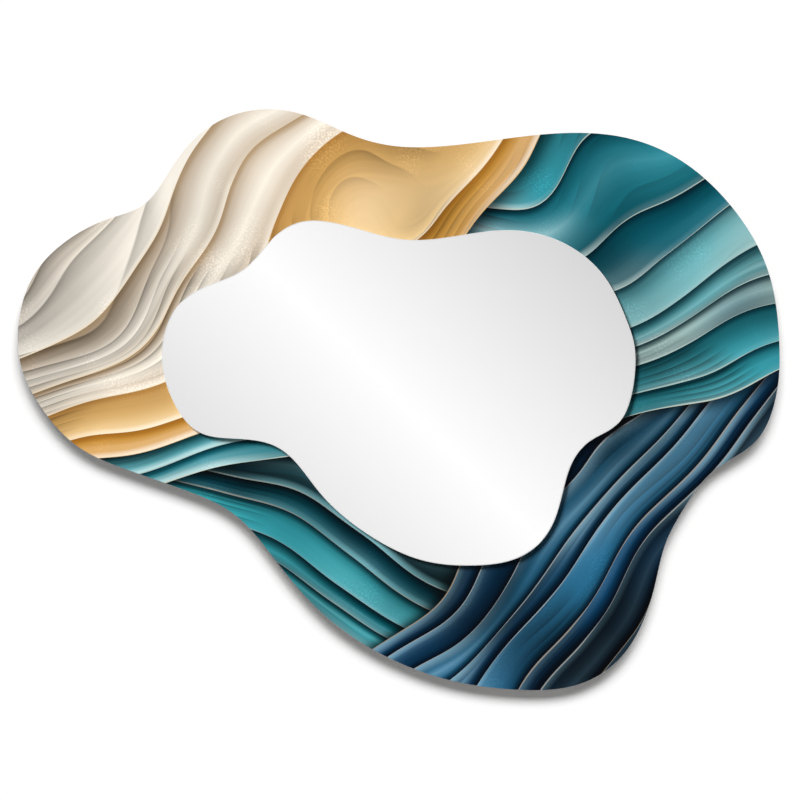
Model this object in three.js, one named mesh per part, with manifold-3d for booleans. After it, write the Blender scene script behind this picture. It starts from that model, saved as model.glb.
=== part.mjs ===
// Wall mirror with an irregular, cloud-like outline. A sheet of silvered float glass is bonded to the
// front of a larger board that carries a printed film. Two folded strap hangers with D rings hold it on
// two hooks, and four rubber bumpers keep it off the wall.
//
// Millimetres, +Z up. The wall is the plane y = 0 and the front faces -Y. The origin lies on the wall,
// midway between the two hooks, at the height where the rings bear on them.

import * as THREE from 'three';
import { mergeVertices } from 'three/addons/utils/BufferGeometryUtils.js';
import Module from 'manifold-3d';

const wasm = await Module();
wasm.setup();

// ---------------------------------------------------------------- driving dimensions

// Panel: board, printed film on its front and balancing film on its back
const panelWidth = 800;
const panelHeight = 610;
const panelFacets = 216;
const boardThickness = 8;
const printThickness = 0.3;
const backingThickness = 0.3;
const panelDrop = 190; // from the hooks down to the middle of the panel

// Mirror
const mirrorWidth = 497;
const mirrorHeight = 362;
const mirrorFacets = 180;
const mirrorRise = 7; // from the middle of the panel up to the middle of the mirror
const glassThickness = 4;
const glassArris = 0.8;
const silveringThickness = 0.3;

// Bond between the mirror and the print: foam tape strips with a dab of adhesive in each gap
const bondThickness = 1;
const tapePitch = 80;
const tapeWidth = 19;
const tapeMargin = 22; // from the edge of the mirror to the ends of the strips
const dabToTape = 16.5;

// Wall bumpers
const bumperBaseRadius = 8;
const bumperTipRadius = 6.5;
const bumperEdgeRadius = 1;
const bumperInset = 32; // from the edge of the panel to the middle of the bumper
const bumperStations = [0.07, 0.29, 0.47, 0.755]; // shares of the way round the panel, one for each lobe

// Strap hangers
const hangerSpacing = 360;
const hangerToWall = 3;
const strapWidth = 12;
const strapThickness = 1;
const strapSlit = 0.3; // left between the two folded layers
const strapTipRadius = 4;
const strapTipMargin = 6; // from the lower screw to the tip
const strapTuckRadius = 1.5; // where the outer layer turns in below the curl

// D rings
const ringWire = 2.4;
const ringBend = 2.5;
const ringPlay = 1.5; // from the side of the strap to where the bar starts to bend
const ringStraight = 0.5; // from the end of a bend to the start of the crown
const ringButtGap = 0.6; // between the two ends of the wire, inside the curl
const runningClearance = 0.3; // round the bar in its curl, and round a screw in its hole

// Pan head screws
const screwShank = 3.5;
const screwHeadWidth = 7;
const screwHeadHeight = 2.4;
const screwPointLength = 2;
const screwToRing = 2.3; // from the lowered ring to the edge of the upper screw's head
const screwHeadGap = 5; // between the two heads
const pilotCover = 1.5; // board left in front of a pilot hole
const tipClearance = 1.1; // from the point of a screw to the end of its pilot hole

// Facets
const boreFacets = 16;
const dabFacets = 20;
const bumperFacets = 20;
const screwFacets = 12;
const ringSteps = 50;

// Points that the two outlines pass through, anticlockwise seen from the front. Each outline is then
// stretched to the width and height given above.
const panelKnots = [
  [400, 52], [392, 122], [362, 187], [308, 244], [238, 276], [160, 280], [84, 271], [10, 266],
  [-50, 279], [-107, 302], [-166, 302], [-214, 275], [-244, 235], [-270, 204], [-309, 189], [-352, 165],
  [-387, 124], [-400, 65], [-386, 10], [-344, -43], [-290, -71], [-228, -93], [-171, -121], [-127, -171],
  [-80, -224], [-21, -265], [50, -293], [125, -304], [190, -298], [239, -263], [266, -206], [279, -154],
  [301, -111], [332, -73], [375, -43], [396, 3],
];
const mirrorKnots = [
  [248, 35], [239, 76], [215, 123], [172, 158], [120, 171], [66, 166], [9, 161], [-45, 173],
  [-94, 181], [-131, 164], [-162, 131], [-203, 112], [-236, 87], [-249, 43], [-240, -2], [-214, -38],
  [-176, -47], [-135, -53], [-105, -76], [-77, -111], [-35, -146], [19, -173], [75, -180], [127, -171],
  [162, -135], [178, -81], [203, -48], [236, -23],
];

// ---------------------------------------------------------------- planes and places worked out from them

const curlBore = ringWire / 2 + runningClearance;
const curlRadius = curlBore + strapThickness;
const bumperHeight = 2 * curlRadius + hangerToWall;

const backY = -bumperHeight;
const boardBackY = backY - backingThickness;
const boardFrontY = boardBackY - boardThickness;
const printFrontY = boardFrontY - printThickness;
const silveringBackY = printFrontY - bondThickness;
const glassBackY = silveringBackY - silveringThickness;
const glassFrontY = glassBackY - glassThickness;

const ringHalfWidth = strapWidth / 2 + ringPlay + ringBend; // to the centre line of a leg
const ringShoulder = ringBend + ringStraight; // from the bar up to where the crown starts
const ringReach = ringShoulder + ringHalfWidth + ringWire / 2;
const barY = backY + curlRadius;
const barZ = panelDrop + ringWire - ringReach;

const strapFaceY = 2 * strapThickness + strapSlit - curlRadius; // from the bar to the outer layer's face
const upperScrewDrop = ringReach + screwToRing + screwHeadWidth / 2;
const screwDrops = [upperScrewDrop, upperScrewDrop + screwHeadWidth + screwHeadGap];
const strapLength = screwDrops[1] + strapTipMargin;
const pilotDepth = boardThickness - pilotCover;
const screwLength = 2 * strapThickness + strapSlit + backingThickness + pilotDepth - tipClearance;
const screwHoleRadius = screwShank / 2 + runningClearance;

const tapeCount = Math.floor(mirrorWidth / tapePitch);
const dabRadius = (tapePitch - tapeWidth) / 2 - dabToTape;

// ---------------------------------------------------------------- materials

const finish = (color, roughness, metalness = 0, more = {}) =>
  new THREE.MeshStandardMaterial({ color, roughness, metalness, ...more });

const glassMaterial = finish(0xeaf4f2, 0.02, 0, { transparent: true, opacity: 0.3 });
const silveringMaterial = finish(0xe6e8e8, 0.04, 1);
const tapeMaterial = finish(0xe9e9e4, 0.9);
const adhesiveMaterial = finish(0xd8d3c4, 0.6);
const printMaterial = finish(0x2c7f90, 0.4);
const boardMaterial = finish(0xb89468, 0.85);
const backingMaterial = finish(0xece8df, 0.7);
const plateMaterial = finish(0xc9c8c3, 0.3, 1);
const rubberMaterial = finish(0x1c1c1d, 0.85);

// ---------------------------------------------------------------- outlines

// A closed curve whose curvature changes smoothly: a cubic B-spline with its control points relaxed
// until it passes through every knot.
class SmoothLoop extends THREE.Curve {
  constructor(knots) {
    super();
    const count = knots.length;
    const targets = knots.map(([x, z]) => new THREE.Vector2(x, z));
    this.controls = targets.map((target) => target.clone());
    for (let sweep = 0; sweep < 30; sweep++) {
      targets.forEach((target, i) => {
        const before = this.controls[(i + count - 1) % count];
        const after = this.controls[(i + 1) % count];
        this.controls[i].copy(target).multiplyScalar(6).sub(before).sub(after).divideScalar(4);
      });
    }
  }

  getPoint(t, point = new THREE.Vector2()) {
    const count = this.controls.length;
    const start = Math.floor(t * count);
    const u = t * count - start;
    const weights = [
      (1 - u) ** 3,
      3 * u ** 3 - 6 * u ** 2 + 4,
      -3 * u ** 3 + 3 * u ** 2 + 3 * u + 1,
      u ** 3,
    ];
    point.set(0, 0);
    weights.forEach((weight, i) => {
      point.addScaledVector(this.controls[(start + i + count - 1) % count], weight / 6);
    });
    return point;
  }
}

// Evenly spaced points round the knots, stretched to a width and height about (0, 0)
function outlineThrough(knots, width, height, facets) {
  const loop = new SmoothLoop(knots);
  loop.arcLengthDivisions = 8 * facets;
  const points = loop.getSpacedPoints(facets).slice(0, facets);
  const box = new THREE.Box2().setFromPoints(points);
  const middle = box.getCenter(new THREE.Vector2());
  const stretch = new THREE.Vector2(width, height).divide(box.getSize(new THREE.Vector2()));
  return points.map((point) => point.sub(middle).multiply(stretch));
}

// Unit vector pointing into an outline at one of its points
function inwardAt(outline, index) {
  const before = outline.at(index - 1);
  const after = outline[(index + 1) % outline.length];
  return new THREE.Vector2(before.y - after.y, after.x - before.x).normalize();
}

function insetOutline(outline, inset) {
  return outline.map((point, i) => point.clone().addScaledVector(inwardAt(outline, i), inset));
}

// The lowest top edge and the highest bottom edge of an outline over a band of x
function heightWithin(outline, left, right) {
  let top = Infinity;
  let bottom = -Infinity;
  outline.forEach((start, i) => {
    const end = outline[(i + 1) % outline.length];
    const heights = [left, right]
      .filter((x) => (start.x - x) * (end.x - x) < 0)
      .map((x) => THREE.MathUtils.mapLinear(x, start.x, end.x, start.y, end.y));
    if (start.x >= left && start.x <= right) heights.push(start.y);
    for (const height of heights) {
      if (end.x < start.x) top = Math.min(top, height);
      else bottom = Math.max(bottom, height);
    }
  });
  return { top, bottom };
}

function rectangle(left, right, bottom, top) {
  return [[left, bottom], [right, bottom], [right, top], [left, top]].map(([x, z]) => new THREE.Vector2(x, z));
}

const panelOutline = outlineThrough(panelKnots, panelWidth, panelHeight, panelFacets);
const mirrorOutline = outlineThrough(mirrorKnots, mirrorWidth, mirrorHeight, mirrorFacets);

// ---------------------------------------------------------------- geometry helpers

// A closed plate through rings of one outline, listed from back to front, each in its own plane y
function plate(outline, rings) {
  const count = outline.length;
  const loops = rings.map(({ inset = 0 }) => insetOutline(outline, inset));
  const positions = loops.flatMap((loop, r) => loop.flatMap((point) => [point.x, rings[r].y, point.y]));
  const faces = [];
  for (let r = 0; r + 1 < rings.length; r++) {
    for (let i = 0; i < count; i++) {
      const back = r * count + i;
      const backNext = r * count + ((i + 1) % count);
      faces.push(back + count, back, backNext, back + count, backNext, backNext + count);
    }
  }
  for (const [a, b, c] of THREE.ShapeUtils.triangulateShape(loops[0], [])) faces.push(c, b, a);
  const front = (rings.length - 1) * count;
  for (const face of THREE.ShapeUtils.triangulateShape(loops.at(-1), [])) {
    faces.push(...face.map((index) => front + index));
  }
  return indexedGeometry(positions, faces);
}

function indexedGeometry(positions, faces) {
  const geometry = new THREE.BufferGeometry();
  geometry.setAttribute('position', new THREE.Float32BufferAttribute(positions, 3));
  geometry.setIndex(faces);
  geometry.computeVertexNormals();
  return geometry;
}

function toSolid(geometry) {
  const bare = geometry.clone();
  bare.deleteAttribute('normal');
  bare.deleteAttribute('uv');
  const merged = mergeVertices(bare, 1e-5);
  return new wasm.Manifold(new wasm.Mesh({
    numProp: 3,
    vertProperties: merged.attributes.position.array,
    triVerts: new Uint32Array(merged.index.array),
  }));
}

function fromSolid(solid) {
  const { vertProperties, triVerts } = solid.getMesh();
  return indexedGeometry(Array.from(vertProperties), Array.from(triVerts));
}

// Takes round holes along Y out of a geometry, from one plane to another
function drill(geometry, spots, radius, fromY, toY) {
  const depth = Math.abs(toY - fromY);
  const solid = spots.reduce((rest, { x, z }) => {
    const bit = new THREE.CylinderGeometry(radius, radius, depth, boreFacets).translate(x, (fromY + toY) / 2, z);
    return rest.subtract(toSolid(bit));
  }, toSolid(geometry));
  return fromSolid(solid);
}

function namedMesh(name, geometry, material) {
  const mesh = new THREE.Mesh(geometry, material);
  mesh.name = name;
  return mesh;
}

// ---------------------------------------------------------------- panel

const hangerXs = [-hangerSpacing / 2, hangerSpacing / 2];
const screwSpots = hangerXs.flatMap((x) => screwDrops.map((drop) => ({ x, z: barZ - drop })));

function panelBoard() {
  const blank = plate(panelOutline, [{ y: boardBackY }, { y: boardFrontY }]);
  const overshoot = backingThickness;
  const board = drill(blank, screwSpots, screwHoleRadius, boardBackY + overshoot, boardBackY - pilotDepth);
  return namedMesh('panel_board', board, boardMaterial);
}

function printFilm() {
  const film = plate(panelOutline, [{ y: boardFrontY }, { y: printFrontY }]);
  return namedMesh('print_film', film, printMaterial);
}

function backingFilm() {
  const sheet = plate(panelOutline, [{ y: backY }, { y: boardBackY }]);
  const overshoot = backingThickness;
  const film = drill(sheet, screwSpots, screwHoleRadius, backY + overshoot, boardBackY - overshoot);
  return namedMesh('backing_film', film, backingMaterial);
}

// ---------------------------------------------------------------- mirror and its bond

const arris = Math.min(glassArris, glassThickness / 4);

function mirrorGlass() {
  const glass = plate(mirrorOutline, [
    { y: glassBackY, inset: arris },
    { y: glassBackY - arris },
    { y: glassFrontY + arris },
    { y: glassFrontY, inset: arris },
  ]);
  return namedMesh('mirror_glass', glass, glassMaterial);
}

function mirrorSilvering() {
  const layer = plate(mirrorOutline, [
    { y: silveringBackY, inset: arris },
    { y: glassBackY, inset: arris },
  ]);
  return namedMesh('mirror_silvering', layer, silveringMaterial);
}

function mountingTape(index) {
  const middle = (index + 0.5 - tapeCount / 2) * tapePitch;
  const left = middle - tapeWidth / 2;
  const right = middle + tapeWidth / 2;
  const { top, bottom } = heightWithin(mirrorOutline, left, right);
  const strip = plate(rectangle(left, right, bottom + tapeMargin, top - tapeMargin), [
    { y: printFrontY },
    { y: silveringBackY },
  ]);
  return namedMesh(`mounting_tape_${index + 1}`, strip, tapeMaterial);
}

// A dab in the gap to the right of a strip
function adhesiveDab(index) {
  const x = (index + 1 - tapeCount / 2) * tapePitch;
  const { top, bottom } = heightWithin(mirrorOutline, x - dabRadius, x + dabRadius);
  const circle = new THREE.EllipseCurve(x, (top + bottom) / 2, dabRadius, dabRadius);
  const dab = plate(circle.getPoints(dabFacets).slice(0, dabFacets), [{ y: printFrontY }, { y: silveringBackY }]);
  return namedMesh(`adhesive_dab_${index + 1}`, dab, adhesiveMaterial);
}

// ---------------------------------------------------------------- strap hangers, seen with the bar at (0, 0)

// Side view of the strap, y away from the board: up the board side, round the bar, tucked in below the
// curl and down the outer side, then back along the slit.
function strapSection() {
  const tuckY = strapFaceY + strapTuckRadius;
  const tuckZ = -Math.sqrt((curlRadius + strapTuckRadius) ** 2 - tuckY ** 2);
  const tuckAngle = Math.atan2(tuckZ, tuckY);
  const section = new THREE.Shape();
  section.moveTo(-curlRadius, -strapLength);
  section.lineTo(-curlRadius, 0);
  section.absarc(0, 0, curlRadius, Math.PI, tuckAngle, true);
  section.absarc(tuckY, tuckZ, strapTuckRadius, Math.PI + tuckAngle, Math.PI, false);
  section.lineTo(strapFaceY, -strapLength);
  section.lineTo(strapFaceY - strapThickness, -strapLength);
  section.lineTo(strapFaceY - strapThickness, tuckZ);
  section.absarc(tuckY, tuckZ, strapTuckRadius + strapThickness, Math.PI, Math.PI + tuckAngle, true);
  section.absarc(0, 0, curlBore, tuckAngle, Math.PI, false);
  section.lineTo(-curlBore, -strapLength);
  return section;
}

// Front view of the strap, square at the curl and rounded at the tip
function strapFace() {
  const half = strapWidth / 2;
  const tipRadius = Math.min(strapTipRadius, half);
  const corner = half - tipRadius;
  const arcZ = tipRadius - strapLength;
  const face = new THREE.Shape();
  face.moveTo(half, 2 * curlRadius);
  face.lineTo(-half, 2 * curlRadius);
  face.absarc(-corner, arcZ, tipRadius, Math.PI, 1.5 * Math.PI, false);
  face.absarc(corner, arcZ, tipRadius, 1.5 * Math.PI, 2 * Math.PI, false);
  return face.getPoints(4);
}

function hangerStrap(side) {
  const sectionToPart = new THREE.Matrix4().makeBasis(
    new THREE.Vector3(0, 1, 0),
    new THREE.Vector3(0, 0, 1),
    new THREE.Vector3(1, 0, 0),
  );
  const blank = new THREE.ExtrudeGeometry(strapSection(), {
    depth: 2 * strapWidth,
    bevelEnabled: false,
    curveSegments: 7,
  });
  blank.applyMatrix4(sectionToPart).translate(-strapWidth, 0, 0);
  const stencil = plate(strapFace(), [{ y: 2 * curlRadius }, { y: -2 * curlRadius }]);
  const cut = fromSolid(toSolid(blank).intersect(toSolid(stencil)));
  const holes = screwDrops.map((drop) => ({ x: 0, z: -drop }));
  const strap = drill(cut, holes, screwHoleRadius, 2 * curlRadius, -2 * curlRadius);
  return namedMesh(`hanger_strap_${side}`, strap, plateMaterial);
}

// A flat path stood up in the XZ plane
class UprightPath extends THREE.Curve {
  constructor(path) {
    super();
    this.path = path;
  }

  getPoint(t, point = new THREE.Vector3()) {
    const { x, y } = this.path.getPoint(t);
    return point.set(x, 0, y);
  }
}

// One bent wire: half the bar, a leg, the crown, the other leg and the rest of the bar
function hangerRing(side) {
  const half = ringHalfWidth;
  const wire = new THREE.Path();
  wire.moveTo(ringButtGap / 2, 0);
  wire.lineTo(half - ringBend, 0);
  wire.absarc(half - ringBend, ringBend, ringBend, -Math.PI / 2, 0, false);
  wire.lineTo(half, ringShoulder);
  wire.absarc(0, ringShoulder, half, 0, Math.PI, false);
  wire.lineTo(-half, ringBend);
  wire.absarc(ringBend - half, ringBend, ringBend, Math.PI, 1.5 * Math.PI, false);
  wire.lineTo(-ringButtGap / 2, 0);
  const circle = new THREE.Shape().absarc(0, 0, ringWire / 2, 0, 2 * Math.PI);
  const ring = new THREE.ExtrudeGeometry(circle, {
    extrudePath: new UprightPath(wire),
    steps: ringSteps,
    curveSegments: 4,
    bevelEnabled: false,
  });
  return namedMesh(`hanger_ring_${side}`, ring, plateMaterial);
}

// Pan head screw driven along -Y, seated at y = 0
function hangerScrew(name) {
  const radius = screwShank / 2;
  const head = screwHeadWidth / 2;
  const dome = new THREE.EllipseCurve(0, 0, head, screwHeadHeight, 0, Math.PI / 2).getPoints(4);
  dome.at(-1).x = 0;
  const profile = [
    new THREE.Vector2(0, -screwLength),
    new THREE.Vector2(radius, screwPointLength - screwLength),
    new THREE.Vector2(radius, 0),
    ...dome,
  ];
  return namedMesh(name, new THREE.LatheGeometry(profile, screwFacets), plateMaterial);
}

function hanger(x, side) {
  const group = new THREE.Group();
  group.position.set(x, barY, barZ);
  group.add(hangerStrap(side), hangerRing(side));
  screwDrops.forEach((drop, i) => {
    const screw = hangerScrew(`hanger_screw_${side}_${i + 1}`);
    screw.position.set(0, strapFaceY, -drop);
    group.add(screw);
  });
  return group;
}

// ---------------------------------------------------------------- bumpers

// Tapered rubber foot, its base on the backing film and its rounded tip on the wall
function wallBumper(station, index) {
  const at = Math.round(station * panelFacets);
  const spot = panelOutline[at].clone().addScaledVector(inwardAt(panelOutline, at), bumperInset);
  const edge = new THREE.EllipseCurve(
    bumperTipRadius - bumperEdgeRadius,
    bumperHeight - bumperEdgeRadius,
    bumperEdgeRadius,
    bumperEdgeRadius,
    0,
    Math.PI / 2,
  );
  const profile = [
    new THREE.Vector2(0, 0),
    new THREE.Vector2(bumperBaseRadius, 0),
    ...edge.getPoints(3),
    new THREE.Vector2(0, bumperHeight),
  ];
  const bumper = namedMesh(`wall_bumper_${index + 1}`, new THREE.LatheGeometry(profile, bumperFacets), rubberMaterial);
  bumper.position.set(spot.x, backY, spot.y);
  return bumper;
}

// ---------------------------------------------------------------- assembly

const mirror = new THREE.Group();
mirror.position.z = mirrorRise;
mirror.add(mirrorGlass(), mirrorSilvering());
for (let i = 0; i < tapeCount; i++) mirror.add(mountingTape(i));
for (let i = 0; i < tapeCount - 1; i++) mirror.add(adhesiveDab(i));

const part = new THREE.Group();
part.position.z = -panelDrop;
part.add(printFilm(), panelBoard(), backingFilm(), mirror);
hangerXs.forEach((x, i) => part.add(hanger(x, ['left', 'right'][i])));
part.add(...bumperStations.map(wallBumper));

export default part;
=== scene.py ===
import math

import bmesh
import bpy
from mathutils import Matrix, Vector


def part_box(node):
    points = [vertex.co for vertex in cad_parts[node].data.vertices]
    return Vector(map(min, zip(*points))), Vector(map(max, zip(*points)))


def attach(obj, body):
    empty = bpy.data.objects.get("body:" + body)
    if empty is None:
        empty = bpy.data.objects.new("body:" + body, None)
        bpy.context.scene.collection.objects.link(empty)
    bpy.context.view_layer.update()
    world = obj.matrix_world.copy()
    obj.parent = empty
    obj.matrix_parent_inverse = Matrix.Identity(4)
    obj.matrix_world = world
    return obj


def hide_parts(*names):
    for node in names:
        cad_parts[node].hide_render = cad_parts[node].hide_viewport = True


mm = 0.001
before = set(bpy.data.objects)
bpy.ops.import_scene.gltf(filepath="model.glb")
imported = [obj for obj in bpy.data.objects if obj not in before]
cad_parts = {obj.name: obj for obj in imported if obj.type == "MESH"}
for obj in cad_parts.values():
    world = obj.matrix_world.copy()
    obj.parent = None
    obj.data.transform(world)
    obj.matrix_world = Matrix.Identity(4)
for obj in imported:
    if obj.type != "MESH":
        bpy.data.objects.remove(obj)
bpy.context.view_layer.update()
panelBody = "mirror_panel"
boardLow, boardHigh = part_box("panel_board")
filmLow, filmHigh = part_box("print_film")
panelCentre = (boardLow + boardHigh) / 2
print("frame loaded:", len(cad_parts), "nodes")


def toLinear(hexColour):
    channels = [int(hexColour[i : i + 2], 16) / 255 for i in (1, 3, 5)]
    return [c / 12.92 if c <= 0.04045 else ((c + 0.055) / 1.055) ** 2.4 for c in channels] + [1.0]


def addNode(tree, kind, inputs=None, stops=(), **settings):
    # kind: the type of shader node. inputs: numbers, hex colours, outputs to link to, or nodes, each of which
    # stands for its first output in use. stops: (position, hex colour) along a colour ramp
    node = tree.nodes.new("ShaderNode" + kind)
    for name, value in settings.items():
        setattr(node, name, value)
    for socket, value in (inputs or {}).items():
        if isinstance(value, str):
            value = toLinear(value)
        elif isinstance(value, bpy.types.Node):
            value = next(output for output in value.outputs if output.enabled)
        if isinstance(value, bpy.types.NodeSocket):
            tree.links.new(value, node.inputs[socket])
        else:
            node.inputs[socket].default_value = value
    for i, (position, colour) in enumerate(stops):
        elements = node.color_ramp.elements
        stop = elements[i] if i < len(elements) else elements.new(position)
        stop.position = position
        stop.color = toLinear(colour)
    return node


# settings that many nodes share
smooth = {"interpolation_type": "SMOOTHSTEP"}
inColour = {"data_type": "RGBA"}


def addObject(name, data):
    added = bpy.data.objects.new(name, data)
    bpy.context.scene.collection.objects.link(added)
    return added


def makeMaterial(finish, plan):
    # finish adds a material's nodes and returns the last of them, and gives the material its name
    material = bpy.data.materials.new(finish.__name__)
    material.use_nodes = True
    tree = material.node_tree
    tree.nodes.clear()
    addNode(tree, "OutputMaterial", {"Surface": finish(tree, plan)})
    return material


# camera, straight at the front as in the photograph
cameraPlan = {
    "lens": 300.0,  # mm, long: the photograph has no perspective to speak of
    "sensor": 36.0,
    "frameWidth": 840 * mm,  # across the picture at the printed film
    "right": 1.4 * mm,  # from the middle of the panel to the middle of the picture
    "up": -0.3 * mm,
}


def makeCamera(plan):
    data = bpy.data.cameras.new("camera")
    data.lens = plan["lens"]
    data.sensor_width = plan["sensor"]
    distance = plan["frameWidth"] * plan["lens"] / plan["sensor"]
    camera = addObject("camera", data)
    camera.location = (panelCentre.x + plan["right"], filmLow.y - distance, panelCentre.z + plan["up"])
    camera.rotation_euler = (math.pi / 2, 0, 0)
    bpy.context.scene.camera = camera


makeCamera(cameraPlan)

# studio. A lamp's level is what it adds to a white surface that faces it, and the surroundings add the rest
# up to about 1. Its slope is how far a shadow moves to the right and up for each metre of height.
studio = {
    "surroundings": 0.13,
    "key": {"level": 0.90, "softness": 21, "slope": (0.90, -1.00), "from": -1},
    "wallLeft": {"level": 0.395, "softness": 27, "slope": (-0.25, -0.81), "from": -1},
    "wallRight": {"level": 0.395, "softness": 27, "slope": (0.18, -0.81), "from": -1},
    "behind": {"level": 0.80, "softness": 40, "slope": (-0.4, -0.35), "from": 1},
    "wallPaint": "#fdfdfd",
    "wallGlow": 0.12,
    "floorPaint": "#f7f7f5",
    "bouncePaint": "#5c5c5c",  # what both are for light on its way to the object
    "floorDrop": 1.5,  # metres from the hooks down to the floor
    "reach": 40.0,  # metres of wall and floor, past any camera
}
# What the mirror sees: a bright ridge down to the right, falling off to a pale grey on both sides of it
reflection = {"ridge": 1.048, "fall": 6.75, "spread": 0.064}
# What metal sees behind the wall: dark below and bright above, between two heights of its view. The two
# rooms pass into each other over seam.
backRoom = {"low": 0.22, "high": 1.15, "heights": (-0.5, 0.6), "seam": 0.3}


def makeWorld(plan, mirrored, behind):
    world = bpy.data.worlds.new("studio")
    bpy.context.scene.world = world
    world.use_nodes = True
    tree = world.node_tree
    tree.nodes.clear()
    path = addNode(tree, "LightPath").outputs
    direction = addNode(tree, "SeparateXYZ", {0: addNode(tree, "TexCoord")}).outputs
    bottom, top = behind["heights"]
    slant = addNode(tree, "Math", {0: direction["X"], 1: direction["Z"]}, operation="ADD")
    wave = addNode(tree, "Math", {0: slant, 1: mirrored["spread"]}, operation="PINGPONG")
    front = addNode(
        tree, "Math", {0: wave, 1: -mirrored["fall"], 2: mirrored["ridge"]}, operation="MULTIPLY_ADD"
    )
    back = addNode(
        tree, "MapRange", {"Value": direction["Z"], 1: bottom, 2: top, 3: behind["low"], 4: behind["high"]},
        **smooth,
    )
    turned = addNode(tree, "MapRange", {"Value": direction["Y"], 1: -behind["seam"], 2: behind["seam"]})
    seen = addNode(tree, "Mix", {0: turned, 2: front, 3: back}, data_type="FLOAT")
    throughGloss = addNode(
        tree, "Math", {0: path["Is Glossy Ray"], 1: path["Is Transmission Ray"]}, operation="MAXIMUM"
    )
    forObject = addNode(tree, "Mix", {0: throughGloss, 2: plan["surroundings"], 3: seen}, data_type="FLOAT")
    strength = addNode(tree, "Mix", {0: path["Is Camera Ray"], 2: forObject, 3: 1.0}, data_type="FLOAT")
    background = addNode(tree, "Background", {"Color": (1, 1, 1, 1), "Strength": strength})
    addNode(tree, "OutputWorld", {"Surface": background})


def addSun(name, lamp):
    travel = Vector((lamp["slope"][0], -lamp["from"], lamp["slope"][1])).normalized()
    data = bpy.data.lights.new(name, "SUN")
    data.energy = lamp["level"] * math.pi / abs(travel.y)
    data.angle = math.radians(lamp["softness"])
    sun = addObject(name, data)
    sun.rotation_euler = travel.to_track_quat("-Z", "Y").to_euler()
    return sun


def mattWallPaint(tree, plan):
    # Matt white emulsion. The wall is open from behind, so that the back of the mirror can be looked at.
    # A ray's diffuse depth counts its bounces, so 0.5 and 1.5 lie between whole numbers.
    path = addNode(tree, "LightPath").outputs
    geometry = addNode(tree, "NewGeometry").outputs
    second = addNode(tree, "Math", {0: path["Diffuse Depth"], 1: 1.5}, operation="GREATER_THAN")
    bounced = addNode(tree, "Math", {0: path["Diffuse Depth"], 1: 0.5}, operation="GREATER_THAN")
    shading = addNode(tree, "Math", {0: path["Is Shadow Ray"], 1: bounced}, operation="MULTIPLY")
    inside = addNode(tree, "Math", {0: second, 1: shading}, operation="MAXIMUM")
    solid = addNode(tree, "Math", {0: path["Is Camera Ray"], 1: inside}, operation="MAXIMUM")
    front = addNode(tree, "Math", {0: 1.0, 1: geometry["Backfacing"]}, operation="SUBTRACT")
    shown = addNode(tree, "Math", {0: solid, 1: front}, operation="MULTIPLY")
    colour = addNode(
        tree, "Mix", {0: path["Is Camera Ray"], 6: plan["bouncePaint"], 7: plan["wallPaint"]}, **inColour
    )
    glow = addNode(tree, "Math", {0: path["Is Camera Ray"], 1: plan["wallGlow"]}, operation="MULTIPLY")
    paint = addNode(tree, "BsdfDiffuse", {"Color": colour})
    pale = addNode(tree, "Emission", {"Strength": glow})
    wall = addNode(tree, "AddShader", {0: paint, 1: pale})
    clear = addNode(tree, "BsdfTransparent")
    return addNode(tree, "MixShader", {0: shown, 1: clear, 2: wall})


def mattFloorPaint(tree, plan):
    # Pale matt floor paint. The floor is open from below, so that the underside can be looked at, and the
    # mirror looks past the part before the wall into the soft light that it shows everywhere else.
    path = addNode(tree, "LightPath").outputs
    geometry = addNode(tree, "NewGeometry").outputs
    shiny = addNode(
        tree, "Math", {0: path["Is Glossy Ray"], 1: path["Is Transmission Ray"]}, operation="MAXIMUM"
    )
    seen = addNode(tree, "Math", {0: path["Is Camera Ray"], 1: shiny}, operation="MAXIMUM")
    colour = addNode(tree, "Mix", {0: seen, 6: plan["bouncePaint"], 7: plan["floorPaint"]}, **inColour)
    paint = addNode(tree, "BsdfDiffuse", {"Color": colour})
    axes = addNode(tree, "SeparateXYZ", {0: geometry["Position"]})
    inFront = addNode(tree, "Math", {0: axes.outputs["Y"], 1: 0.0}, operation="LESS_THAN")
    mirrored = addNode(tree, "Math", {0: shiny, 1: inFront}, operation="MULTIPLY")
    gone = addNode(tree, "Math", {0: geometry["Backfacing"], 1: mirrored}, operation="MAXIMUM")
    clear = addNode(tree, "BsdfTransparent")
    return addNode(tree, "MixShader", {0: gone, 1: paint, 2: clear})


def addSheet(name, corners, material):
    mesh = bpy.data.meshes.new(name)
    mesh.from_pydata(corners, [], [(0, 1, 2, 3)])
    mesh.materials.append(material)
    sheet = addObject(name, mesh)
    return sheet


def makeStudio(plan):
    wide, low = plan["reach"], -plan["floorDrop"]
    wallCorners = [(-wide, 0, low), (wide, 0, low), (wide, 0, wide), (-wide, 0, wide)]
    floorCorners = [(-wide, -wide, low), (wide, -wide, low), (wide, wide, low), (-wide, wide, low)]
    wall = addSheet("wall", wallCorners, makeMaterial(mattWallPaint, plan))
    floor = addSheet("floor", floorCorners, makeMaterial(mattFloorPaint, plan))
    # The wall has two lamps of its own, because the photograph's shadows don't all fall one way: the
    # panel's falls straight down on the wall, and the mirror's down to the right on the print
    for name, sheets, state in (
        ("wallLeft", [wall], "INCLUDE"),
        ("wallRight", [wall], "INCLUDE"),
        ("key", [wall], "EXCLUDE"),
        ("behind", [wall, floor], "EXCLUDE"),
    ):
        lit = bpy.data.collections.new(name + "Receivers")
        for sheet in sheets:
            lit.objects.link(sheet)
        for member in lit.collection_objects:
            member.light_linking.link_state = state
        sun = addSun(name, plan[name])
        sun.light_linking.receiver_collection = lit
        if name == "key":  # the mirror shows a plain studio, not the lamp
            sun.visible_glossy = False
            sun.visible_transmission = False
    bpy.context.scene.view_settings.view_transform = "Standard"


makeWorld(studio, reflection, backRoom)
makeStudio(studio)
print("camera and studio made")


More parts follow.
